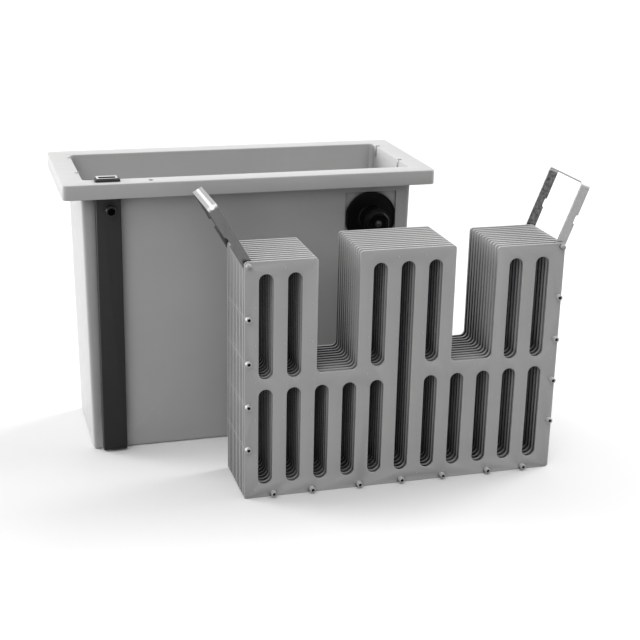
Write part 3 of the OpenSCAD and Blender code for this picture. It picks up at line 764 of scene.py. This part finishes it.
def buildValveBody(plan, hose):
    flange = addBar("flange", atValve(plan["seal"]), forwards, plan["radius"], plan["thick"], 96)
    for side in (-1, 1):
        edit(flange, select="SELECT")
        bpy.ops.mesh.bisect(plane_co=inMetres(atValve(0, side * plan["flat"])),
                            plane_no=(side, 0, 0), use_fill=True, clear_outer=True)
        done()
    edit(flange)
    pick(flange, lambda f: f.normal[1] < -0.9)
    bpy.ops.mesh.dissolve_faces()
    bpy.ops.mesh.inset(thickness=plan["border"] * mm)
    bpy.ops.mesh.inset(thickness=plan["step"] * mm, depth=-plan["step"] * mm)
    done()
    soften(flange, plan["edge"], 3, 50)

    front, root = plan["seal"] + plan["thick"], plan["seal"] + 0.6
    radius, tail, bore = plan["neckRadius"], plan["tailRadius"], plan["bore"]
    hole, inside = plan["spindleHole"], neckFront - plan["wall"]
    profile = [(neckFront, hole), (neckFront, radius - plan["neckEdge"]),
               (neckFront - plan["neckEdge"], radius), (front + 1.5, radius),
               (front - 0.6, radius + plan["shoulder"]), (root, radius + plan["shoulder"]),
               (root, tail), (padBack - 0.2, tail)]
    for turn in range(plan["threads"]):     # the thread starts behind the wall
        along = padBack - 0.8 - plan["pitch"] * turn
        profile += [(along, tail), (along - plan["pitch"] / 2, tail - plan["threadDepth"])]
    profile += [(tailEnd + 0.4, tail - 0.5), (tailEnd, tail - 0.9), (tailEnd, bore), (inside, bore),
                (inside, hole)]
    neck = addTurned("neck", atValve(0), forwards, profile, 64, loop=True)
    drill(neck, atValve(neckMiddle, 0, -radius - 1), upwards, plan["window"], radius, 32)
    body = joined([flange, neck], "valveBody")
    dress(body, "tank", "valvePlastic", "valve_plastic", "valve_body")

    length, under = hose["length"], hose["length"] - hose["collarLength"]
    profile = [(0, hose["bore"]), (0, hose["radius"] - 0.6), (0.6, hose["radius"]),
               (under, hose["radius"]), (under, hose["collar"] - 0.5),
               (under + 0.5, hose["collar"]), (length + 6, hose["collar"]),
               (length + 6, hose["bore"])]
    start = atValve(neckMiddle, 0, -radius - length)
    hoseTail = addTurned("outletHoseTail", start, upwards, profile, 48, loop=True)
    drill(hoseTail, atValve(0), forwards, radius + seam, 40, 96)     # a saddle round the neck
    dress(hoseTail, "tank", "valvePlastic", "valve_plastic", "outlet_hose_tail")


def buildSealAndNut(plan, nutSize, tailHole):
    thick, radius = plan["seal"] - 2 * seam, plan["sealRadius"]
    seal = addTurned("valveSeal", atValve(seam), forwards,
                     [(0, tailHole), (0, radius - 0.3), (0.3, radius), (thick - 0.3, radius),
                      (thick, radius - 0.3), (thick, tailHole)], 96, loop=True)
    dress(seal, "tank", "sealRubber", "seal_rubber", "valve_seal")

    # the nut has corners at its sides, and turned chamfers on its rear face
    cornerRadius = nutSize["acrossFlats"] / 2 / math.cos(math.radians(30))
    nut = addPrimitive("cylinder", vertices=6, radius=cornerRadius * mm,
                       depth=nutSize["thick"] * mm,
                       location=inMetres(atValve(padBack - seam - nutSize["thick"] / 2)),
                       rotation=(math.pi / 2, math.pi / 2, 0))
    settle(nut, "lockNut")
    cone = addTurned("nutTurning", atValve(padBack - seam), backwards, nutSize["turning"], 48)
    carve(nut, cone, "INTERSECT")
    drill(nut, atValve(padBack + 2), backwards, tailHole, 14, 64)
    soften(nut, nutSize["edge"], 2, 25)
    dress(nut, "tank", "valvePlastic", "valve_plastic", "lock_nut")


def buildKnob(plan):
    back = neckFront + plan["gap"]
    seat = back + plan["length"] - plan["dish"] + plan["hubHeight"] + seam
    radius = plan["across"] / math.cos(math.pi / 8)
    knob = addPrimitive("cylinder", vertices=8, radius=radius * mm, depth=plan["foot"] * mm,
                        location=inMetres(atValve(back + plan["foot"] / 2)),
                        rotation=(math.pi / 2, math.pi / 8, 0))
    settle(knob, "valveKnob")
    bevelEdges(knob, lambda e: runsAlong(e, 1), plan["corner"], 4)
    edit(knob)
    pick(knob, lambda f: f.normal[1] < -0.9)
    # the grip tapers forward from its broad foot
    bpy.ops.mesh.inset(thickness=plan["shoulder"] * mm)
    extrudeBy((0, back + plan["foot"] - seat - plan["proud"], 0))
    centre = inMetres(atValve(seat))
    bpy.ops.transform.resize(value=(plan["taper"], 1, plan["taper"]), center_override=centre)
    bpy.ops.mesh.inset(thickness=plan["lip"] * mm)
    extrudeBy((0, plan["sink"], 0))
    bpy.ops.transform.resize(value=(0.96, 1, 0.96), center_override=centre)
    pick(knob, lambda f: f.normal[1] > 0.9 and len(f.verts) > 8)
    bpy.ops.mesh.inset(thickness=plan["backBorder"] * mm)
    extrudeBy((0, -plan["backSink"], 0))
    done()
    soften(knob, plan["edge"], 3, 25)
    dress(knob, "knob", "knobPlastic", "knob_plastic", "valve_knob")
    return seat


def buildScrew(plan, seat, floorAt):
    radius, bore, thick = plan["washer"], plan["washerBore"], plan["washerThick"]
    washer = addTurned("knobWasher", atValve(seat), forwards,
                       [(0, bore), (0, radius), (thick - 0.25, radius), (thick, radius - 0.3),
                        (thick, bore)],
                       40, loop=True)
    dress(washer, "knob", "washerSteel", "dark_steel", "knob_washer")

    underHead = seat + thick + seam
    head, shank = plan["head"], plan["shank"]
    dome = [(along, head - inwards) for along, inwards in plan["headRound"]]
    screw = addTurned("knobScrew", atValve(underHead), forwards,
                      [(-plan["length"], 0), (-plan["length"], shank), (0, shank), (0, head)]
                      + dome + [(dome[-1][0], 0)], 40)
    half = plan["slotWidth"] / 2
    carve(screw, addBlock("slot", atValve(underHead + 4, -5, -half),
                          atValve(underHead + plan["slotFoot"], 5, half)))
    dress(screw, "knob", "shadedHeadSteel", "steel", "knob_screw")

    spindle, edge, hole = plan["spindle"], plan["spindleEdge"], plan["threadHole"]
    rear, threadEnd = neckFront - plan["spindleInside"], floorAt - plan["threadLength"]
    stem = addTurned("valveSpindle", atValve(0), forwards,
                     [(rear, 0), (rear, spindle - edge), (rear + edge, spindle), (floorAt, spindle),
                      (floorAt, hole), (threadEnd, hole), (threadEnd, 0)], 40)
    dress(stem, "knob", "screwSteel", "steel", "valve_spindle")


def buildRotor(plan, body, gap):
    radius, edge, hole, bore = plan["radius"], plan["edge"], plan["spindleHole"], plan["bore"]
    front = neckFront - body["wall"] - gap
    rotor = addTurned("valveRotor", atValve(0), forwards,
                      [(tailEnd, bore), (tailEnd, radius - edge), (tailEnd + edge, radius),
                       (front - edge, radius), (front, radius - edge), (front, hole),
                       (front - body["wall"], hole), (front - body["wall"], bore)], 64, loop=True)
    drill(rotor, atValve(neckMiddle, 0, -26), upwards, body["window"], 26, 32)
    dress(rotor, "knob", "rotorPlastic", "rotor_plastic", "valve_rotor")


buildValveBody(bodyPlan, hosePlan)
buildSealAndNut(bodyPlan, nutPlan, valvePlan["tailHole"])
knobSeat = buildKnob(knobPlan)
buildScrew(screwPlan, knobSeat, knobSeat - knobPlan["hubHeight"] - seam)
buildRotor(rotorPlan, bodyPlan, knobPlan["gap"])
print("outlet valve and knob are built")


# rack: dividers

rackPlan = {"middle": 164.0, "front": -285.525, "count": 12, "thick": 3.0, "step": 8.85,
            "depth": 100.35, "halfWidth": 220.0, "sideHeight": 327.5, "height": 333.0,
            "sideColumn": 97.0, "cutFloor": 171.0, "cutRadius": 7.0, "columnRadius": 4.5,
            "footRadius": 3.0, "shift": 1.5, "middleHalf": 66.0, "edge": 0.7}
slotPlan = {"radius": 9.5, "step": 38.0, "foot": 18.5, "lowerTop": 153.5, "upperFoot": 167.5,
            "sideTop": 310.0, "middleFoot": 173.0, "middleTop": 315.5, "sides": 32}
tiePlan = {"radius": 3.9, "bore": 2.1, "out": 7.0, "sideX": 215.0, "sideZ": (72, 132, 192, 252),
           "bottomX": (-180, -126.5, -60, 0, 60, 126.5, 180), "bottomZ": 5.0}
rodPlan = {"radius": 2.5, "z": 322.5, "capRadius": 3.8, "capLength": 8.0, "rearCap": 103.4}
nubPlan = {"radius": 1.1, "height": 0.45, "firstX": 14.3, "stepX": 38.0, "firstZ": 11.0,
           "stepZ": 51.0, "rows": 7, "topLift": 5.0, "middleColumns": (4, 5, 6, 7),
           "sideColumns": (0, 1, 2, 9, 10, 11)}
inFront, behind = 5, 8     # how far a cutter runs past a plate's front face


def slotCutter(x, low, high, plan, y):
    sides = plan["sides"]
    radius = plan["radius"] / math.cos(math.pi / sides)
    cutter = addPrimitive("cylinder", vertices=sides, radius=radius * mm, depth=20 * mm,
                          rotation=(math.pi / 2, math.pi / sides, 0),
                          location=inMetres((x, y, low + plan["radius"])))
    settle(cutter)
    edit(cutter, "VERT")
    pick(cutter, lambda v: v.co[2] / mm > low + plan["radius"], "verts")
    bpy.ops.transform.translate(value=(0, 0, (high - low - 2 * plan["radius"]) * mm))
    done()
    return cutter


def buildDividerBlank(plan):
    # the outline first, as the plate is sawn, then the slots and holes
    left, right = plan["middle"] - plan["halfWidth"], plan["middle"] + plan["halfWidth"]
    front, top, centre = plan["front"], plan["height"] + 12, plan["middle"] - plan["shift"]
    plate = addBlock("divider_1_plate", (left, front, 0),
                     (right, front + plan["thick"], plan["height"]))
    columnX = (left + plan["sideColumn"], centre - plan["middleHalf"],
               centre + plan["middleHalf"], right - plan["sideColumn"])
    for low, high in ((columnX[0], columnX[1]), (columnX[2], columnX[3])):
        cut = addBlock("handCut", (low, front - inFront, plan["cutFloor"]),
                       (high, front + behind, top))
        bevelEdges(cut, lambda e: runsAlong(e, 1) and middleOf(e)[2] < plan["cutFloor"] + 1,
                   plan["cutRadius"], 8)
        carve(plate, cut)
    for low, high in ((left - 5, columnX[0] + 5), (columnX[3] - 5, right + 5)):
        carve(plate, addBlock("shoulder", (low, front - inFront, plan["sideHeight"]),
                              (high, front + behind, top)))

    def isColumnCorner(edge):
        x, _, z = middleOf(edge)
        atX = min(abs(x - side) for side in (left, right) + columnX) < 0.01
        atTop = min(abs(z - plan["sideHeight"]), abs(z - plan["height"])) < 0.01
        return runsAlong(edge, 1) and atX and atTop

    def isFootCorner(edge):
        x, _, z = middleOf(edge)
        return runsAlong(edge, 1) and z < 0.01 and min(abs(x - left), abs(x - right)) < 0.01

    bevelEdges(plate, isColumnCorner, plan["columnRadius"], 6)
    bevelEdges(plate, isFootCorner, plan["footRadius"], 5)
    return plate


def slotSpans(column, slots):
    if column == 0:
        return [(slots["foot"], slots["middleTop"])]
    spans = [(slots["foot"], slots["lowerTop"])]
    if abs(column) == 1:
        spans.append((slots["middleFoot"], slots["middleTop"]))
    elif abs(column) > 3:
        spans.append((slots["upperFoot"], slots["sideTop"]))
    return spans


def cutSlotsAndHoles(plate, plan, slots, ties, rod):
    centre, front = plan["middle"] - plan["shift"], plan["front"]
    cutters = [slotCutter(centre + column * slots["step"], low, high, slots, front)
               for column in range(-5, 6) for low, high in slotSpans(column, slots)]
    holes = [(side * ties["sideX"], z, ties["radius"]) for side in (-1, 1) for z in ties["sideZ"]]
    holes += [(x, ties["bottomZ"], ties["radius"]) for x in ties["bottomX"]]
    holes += [(side * ties["sideX"], rod["z"], rod["radius"]) for side in (-1, 1)]
    cutters += [addBar("tieHole", (plan["middle"] + x, front - behind, z), backwards,
                       radius + loose, 20, 24)
                for x, z, radius in holes]
    carve(plate, joined(cutters))
    edit(plate, select="SELECT")
    bpy.ops.mesh.remove_doubles(threshold=1e-6)
    bpy.ops.mesh.dissolve_limited(angle_limit=math.radians(0.5))
    done()

    def isRimOfFace(edge):
        # between a broad face and a sawn edge
        flat = [abs(face.normal[1]) > 0.9 for face in edge.link_faces]
        return len(flat) == 2 and flat[0] != flat[1]

    bevelEdges(plate, isRimOfFace, plan["edge"], 2)


def addNubs(plate, plan, nubs):
    # the small pips that keep a wet sheet off the plate, on its front face
    nub = addPrimitive("uv_sphere", segments=12, ring_count=8, radius=nubs["radius"] * mm)
    edit(nub)
    pick(nub, lambda f: middleOf(f)[2] < -0.2)
    bpy.ops.mesh.delete(type="FACE")
    bpy.ops.mesh.select_mode(type="EDGE")
    pick(nub, lambda e: e.is_boundary, "edges")
    bpy.ops.mesh.edge_face_add()
    done()
    nub.scale = (1, 1, nubs["height"] / nubs["radius"])
    nub.rotation_euler = (math.pi / 2, 0, 0)
    settle(nub, "nub")
    left = plan["middle"] - plan["halfWidth"]
    copies = []
    for column in range(12):
        isMiddle = column in nubs["middleColumns"]
        for row in range(nubs["rows"]):
            x = left + nubs["firstX"] + nubs["stepX"] * column
            z = nubs["firstZ"] + nubs["stepZ"] * row
            if z > plan["cutFloor"] - 3 and not (isMiddle or column in nubs["sideColumns"]):
                continue
            if isMiddle and row == nubs["rows"] - 1:
                z += nubs["topLift"]
            copies.append(copyTo(nub, "nubCopy", (x, plan["front"], z)))
    bpy.data.objects.remove(nub)
    return joined([plate] + copies, "divider_1_plate")


plate = buildDividerBlank(rackPlan)
cutSlotsAndHoles(plate, rackPlan, slotPlan, tiePlan, rodPlan)
plate = addNubs(plate, rackPlan, nubPlan)
dividers = [plate]
for k in range(1, rackPlan["count"]):
    dividers.append(copyTo(plate, "divider_%d_plate" % (k + 1), (0, k * rackPlan["step"], 0)))
for k, divider in enumerate(dividers):
    dress(divider, "rack", "dividerPlastic", "divider_plastic", "divider_%d" % (k + 1),
          angle=30)
print("twelve dividers are cut")


# rack: tie tubes, pivot rods and caps

def buildTies(plan, rack):
    length = rack["depth"] + 2 * plan["out"]
    radius, bore = plan["radius"], plan["bore"]
    tube = addTurned("tieTube", (rack["middle"], rack["front"] - plan["out"], 0), backwards,
                     [(0.25, bore), (0, bore + 0.25), (0, radius - 0.5), (0.15, radius - 0.15),
                      (0.5, radius), (length - 0.5, radius), (length - 0.15, radius - 0.15),
                      (length, radius - 0.5), (length, bore + 0.25), (length - 0.25, bore)],
                     28, loop=True)
    places = [("left_tie_tube_%d", -plan["sideX"], z, k) for k, z in enumerate(plan["sideZ"])]
    places += [("right_tie_tube_%d", plan["sideX"], z, k) for k, z in enumerate(plan["sideZ"])]
    places += [("bottom_tie_tube_%d", x, plan["bottomZ"], k) for k, x in enumerate(plan["bottomX"])]
    for pattern, x, z, k in places:
        node = pattern % (k + 1)
        twin = copyTo(tube, node + "_turned", (x, 0, z))
        dress(twin, "rack", "palePlastic", "pale_plastic", node, angle=40)
    bpy.data.objects.remove(tube)


def buildRods(plan, rack, ties):
    # a rod with its two caps at the left, and copies of them at the right
    radius, half, rear = plan["radius"], plan["capLength"] / 2, plan["rearCap"]
    capRadius, capLength = plan["capRadius"], plan["capLength"] - seam
    x = rack["middle"] - ties["sideX"]
    rod = addTurned("leftPivotRod", (x, rack["front"], plan["z"]), backwards,
                    [(-half, 0), (-half, radius - 0.4), (0.4 - half, radius),
                     (rear + half - 0.4, radius), (rear + half, radius - 0.4), (rear + half, 0)],
                    32)
    dome = [(capLength - capRadius + capRadius * math.sin(math.radians(angle)),
             capRadius * math.cos(math.radians(angle))) for angle in range(0, 91, 10)]
    profile = [(half, 0), (half, radius + loose), (0, radius + loose), (0, capRadius - 0.4),
               (0.4, capRadius)] + dome
    caps = joined([addTurned("cap", (x, rack["front"] + at, plan["z"]), (0, way, 0), profile, 32)
                   for at, way in ((-seam, -1), (rear + seam, 1))], "leftRodCaps")
    across = (2 * ties["sideX"], 0, 0)
    for rodPiece, capPiece, side in (
            (rod, caps, "left"),
            (copyTo(rod, "rightPivotRod", across), copyTo(caps, "rightRodCaps", across), "right")):
        dress(rodPiece, "rack", "screwSteel", "steel", side + "_pivot_rod")
        dress(capPiece, "rack", "capPlastic", "pale_plastic", side + "_rod_caps", angle=50)


buildTies(tiePlan, rackPlan)
buildRods(rodPlan, rackPlan, tiePlan)
print("tie tubes, rods and caps are turned")


# handles

handlePlan = {
    "width": 13.7, "thick": 2.0, "reach": 89.0, "bend": 5.0, "frontLeg": 5.925, "rearLeg": 102.35,
    "hole": 2.55, "edge": 0.35, "leans": {"left": -30.3, "right": 20.7},
    "notch": {"low": 33.0, "high": 50.0, "deep": 2.6, "slope": 4.5, "upperCorner": 2.4,
              "lowerCorner": 1.8},
    # in metres: where the legs turn into the crossbar, and the front leg into the rear one, for the
    # painted light and shade
    "bar": (0.0835, 0.087), "between": (-0.25, -0.2),
    # lit and shaded copies of one steel: each handle's tones paint the light and shade that fall on
    # it
    "tones": {"left": {"legs": 0.13, "rear": 0.07, "bar": 0.42, "streak": 0.95, "side": 0.32,
                       "mottle": 0.25},
              "right": {"legs": 0.3, "rear": 0.055, "bar": 0.75, "streak": 0.8, "side": 0.14,
                        "mottle": 0.3}}}


def handleSteel(name, pivot, lean, plan, tones):
    # dull rolled strip with painted light and shade: dark on the legs, and bright on the crossbar,
    # where the light falls
    steel = rolledSteel(name, (tones["legs"],) * 3, 0.36, turn=-lean, lines=0.06)
    tree = steel.node_tree
    tone = tree.nodes["Principled BSDF"].inputs["Base Color"]
    place = coordinates(tree)["Object"]
    # stood upright on its pivot: X runs across the strip, Z along the legs
    turn = -math.radians(lean)
    upright = addNode(tree, "Mapping")
    upright.inputs["Rotation"].default_value = (0, turn, 0)
    upright.inputs["Scale"].default_value = (1, 0, 1)
    upright.inputs["Location"].default_value = -(Matrix.Rotation(turn, 3, "Y") @ inMetres(pivot))
    tree.links.new(place, upright.inputs["Vector"])
    reach = addNode(tree, "VectorMath", operation="LENGTH")
    tree.links.new(upright.outputs["Vector"], reach.inputs[0])

    # the rear leg is painted darker, as shade
    rearwards = remap(tree, splitUp(tree, place)["Y"], *plan["between"])
    legs = mixTones(tree, rearwards, tone.links[0].from_socket, grey(tones["rear"]))
    blotches = remap(tree, addNoise(tree, place, 260, 5.0), 0.35, 0.7, 0, tones["mottle"])
    legs = mixTones(tree, blotches, legs, grey(tones["legs"] * 1.5))
    # a painted highlight streak along the middle of the crossbar, with rubbed lines over it
    offMiddle = addMath(tree, "ABSOLUTE", splitUp(tree, upright.outputs["Vector"])["X"])
    streak = remap(tree, offMiddle, 0.0008, 0.0024, 1, 0)
    bar = mixTones(tree, streak, grey(tones["bar"]), grey(tones["streak"]))
    rubbed = addNoise(tree, place, 1.0, 3.0, stretch=(400, 12, 400), turn=(0, -lean, 0))
    bar = mixTones(tree, remap(tree, rubbed, 0.5, 0.75, 0, 0.5), bar, grey(tones["bar"] * 0.5))
    whole = mixTones(tree, remap(tree, reach.outputs["Value"], *plan["bar"]), legs, bar)
    # the narrow sheared sides, painted lighter or darker by how they face the light
    across = addNode(tree, "VectorMath", operation="DOT_PRODUCT")
    tree.links.new(coordinates(tree)["Normal"], across.inputs[0])
    across.inputs[1].default_value = (math.cos(turn), 0, math.sin(turn))
    narrow = remap(tree, addMath(tree, "ABSOLUTE", across.outputs["Value"]), 0.6, 0.9)
    tree.links.new(mixTones(tree, narrow, whole, grey(tones["side"])), tone)
    return steel


def bendStrip(name, plan):
    half, thick, bend = plan["width"] / 2, plan["thick"], plan["bend"]
    front, rear = plan["frontLeg"] - thick / 2, plan["rearLeg"] + thick / 2
    straight = plan["reach"] - bend
    strip = addBlock(name, (-half, front, -half), (half, front + thick, straight))
    edit(strip)
    pick(strip, lambda f: f.normal[2] > 0.9)
    bpy.ops.mesh.spin(steps=7, angle=math.pi / 2, center=inMetres((0, front + bend, straight)),
                      axis=(1, 0, 0))
    extrudeBy((0, rear - front - 2 * bend, 0))
    bpy.ops.mesh.spin(steps=7, angle=math.pi / 2, center=inMetres((0, rear - bend, straight)),
                      axis=(1, 0, 0))
    extrudeBy((0, 0, -half - straight))
    bpy.ops.mesh.select_all(action="DESELECT")
    bpy.ops.mesh.select_interior_faces()
    bpy.ops.mesh.delete(type="FACE")
    done()
    tidyMesh(strip)
    bevelEdges(strip, lambda e: runsAlong(e, 1) and middleOf(e)[2] < -half + 0.01, half - 0.05, 9)
    return strip


def cutNotch(strip, half, plan):
    # its upper side slopes, and its inner corners are round
    notch = addBlock("notch", (-half - 4, -10, plan["low"]),
                     (-half + plan["deep"], 120, plan["high"]))

    def isInner(edge):
        return runsAlong(edge, 1) and middleOf(edge)[0] > -half

    bevelEdges(notch, lambda e: isInner(e) and middleOf(e)[2] > plan["high"] - 1,
               plan["upperCorner"], 3)
    edit(notch, "VERT")
    pick(notch, lambda v: v.co[0] / mm > -half and v.co[2] / mm > plan["high"] - 5, "verts")
    bpy.ops.transform.translate(value=(0, 0, -plan["slope"] * mm))
    done()
    bevelEdges(notch, lambda e: isInner(e) and middleOf(e)[2] < plan["low"] + 1,
               plan["lowerCorner"], 4)
    carve(strip, notch)


def buildHandle(name, plan, rack, ties, rod):
    side = 1 if name == "right" else -1
    lean = plan["leans"][name]
    pivot = (rack["middle"] + side * ties["sideX"], 0, rod["z"])
    strip = bendStrip(name + "HandleStrip", plan)
    drill(strip, (0, -10, 0), backwards, plan["hole"], 130, 32)     # both legs at once
    cutNotch(strip, plan["width"] / 2, plan["notch"])
    soften(strip, plan["edge"], 2, 40)
    if side > 0:     # the right handle is the left one's mirror image
        strip.scale = (-1, 1, 1)
        settle(strip)
        tidyMesh(strip)
    strip.rotation_euler = (0, math.radians(lean), 0)
    strip.location = inMetres((pivot[0], rack["front"], pivot[2]))
    settle(strip)
    finish = name + "HandleSteel"
    finishes[finish] = handleSteel(finish, pivot, lean, plan, plan["tones"][name])
    dress(strip, name + "_handle", finish, "steel", name + "_handle", angle=30)


buildHandle("left", handlePlan, rackPlan, tiePlan, rodPlan)
buildHandle("right", handlePlan, rackPlan, tiePlan, rodPlan)
print("handles are bent")
